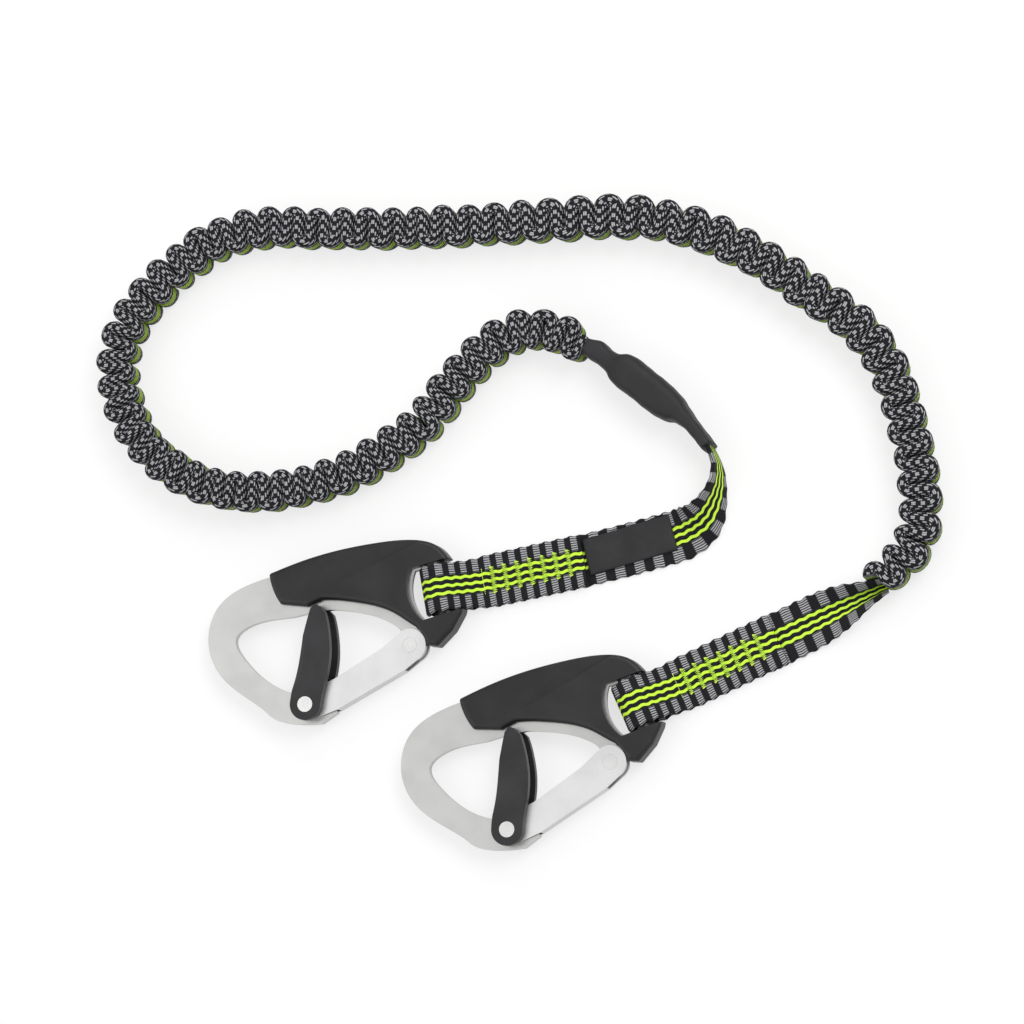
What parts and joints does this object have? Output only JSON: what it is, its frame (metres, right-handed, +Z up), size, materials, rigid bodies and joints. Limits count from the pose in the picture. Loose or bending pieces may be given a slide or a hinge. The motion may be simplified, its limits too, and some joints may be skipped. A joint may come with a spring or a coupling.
{
  "type": "shock absorbing lanyard",
  "caption": "Elasticated safety line with a double-action clip sewn on at each end, laid out in one loose loop.",
  "frame": {"origin": "middle in plan of the clips, webbing and sleeve, on the surface they lie on", "axes": "+Z up from the surface; +X along clip A, from its hook towards its webbing"},
  "size_m": [0.4198, 0.3128, 0.0214],
  "materials": {
    "stainless": "fine satin",
    "rivet_steel": "polished",
    "spring_steel": "drawn wire",
    "black_nylon": "moulded matte",
    "webbing": "woven, grey and lime tracers",
    "thread": "lime bar tacks",
    "label_fabric": "woven label, blank",
    "sleeve": "matte sleeve",
    "pack_webbing": "folded webbing",
    "core_rubber": "rubber cord"
  },
  "bodies": {
    "line": {"webbing_loop_a": "webbing", "webbing_loop_b": "webbing", "stitching_a": "thread", "stitching_b": "thread", "strap_b": "webbing", "link_webbing": "webbing", "label": "label_fabric", "protective_sleeve": "sleeve", "shock_pack": "pack_webbing", "elastic_webbing": "webbing", "elastic_core": "core_rubber"},
    "hook_a": {"hook_plate_a": "stainless", "cover_front_a": "black_nylon", "cover_rear_a": "black_nylon", "gate_rivet_a": "rivet_steel"},
    "gate_a": {"gate_a": "stainless", "gate_spring_a": "spring_steel", "gate_washers_a": "rivet_steel"},
    "lever_a": {"lock_lever_a": "black_nylon", "lever_rivet_a": "rivet_steel", "lever_spring_a": "spring_steel", "lever_washers_a": "rivet_steel"},
    "hook_b": {"hook_plate_b": "stainless", "cover_front_b": "black_nylon", "cover_rear_b": "black_nylon", "gate_rivet_b": "rivet_steel"},
    "gate_b": {"gate_b": "stainless", "gate_spring_b": "spring_steel", "gate_washers_b": "rivet_steel"},
    "lever_b": {"lock_lever_b": "black_nylon", "lever_rivet_b": "rivet_steel", "lever_spring_b": "spring_steel", "lever_washers_b": "rivet_steel"}
  },
  "joints": [
    {"name": "hook_swing_a", "type": "hinge", "parent": "line", "child": "hook_a", "pos_m": [-0.05177, 0.0026, 0.0086], "axis": [-0.1942, 0.981, 0], "range_deg": [0, 90]},
    {"name": "gate_open_a", "type": "hinge", "parent": "hook_a", "child": "gate_a", "pos_m": [-0.06527, -0.0242, 0.0086], "axis": [0, 0, -1], "range_deg": [0, 20], "stiffness_Nm_per_rad": 0.05, "springref_deg": -17.19},
    {"name": "lever_turn_a", "type": "hinge", "parent": "gate_a", "child": "lever_a", "pos_m": [-0.11528, -0.05238, 0.0086], "axis": [0, 0, -1], "range_deg": [0, 50], "stiffness_Nm_per_rad": 0.03, "springref_deg": -17.19},
    {"name": "hook_swing_b", "type": "hinge", "parent": "line", "child": "hook_b", "pos_m": [0.04488, -0.0522, 0.0086], "axis": [-0.4179, 0.9085, 0], "range_deg": [0, 90]},
    {"name": "gate_open_b", "type": "hinge", "parent": "hook_b", "child": "gate_b", "pos_m": [0.03333, -0.0799, 0.0086], "axis": [0, 0, -1], "range_deg": [0, 20], "stiffness_Nm_per_rad": 0.05, "springref_deg": -17.19},
    {"name": "lever_turn_b", "type": "hinge", "parent": "gate_b", "child": "lever_b", "pos_m": [-0.01453, -0.11158, 0.0086], "axis": [0, 0, -1], "range_deg": [0, 50], "stiffness_Nm_per_rad": 0.03, "springref_deg": -17.19}
  ],
  "couplings": [
    {"joint": "gate_open_a", "follows": "lever_turn_a", "ratio": 0.4},
    {"joint": "gate_open_b", "follows": "lever_turn_b", "ratio": 0.4}
  ]
}
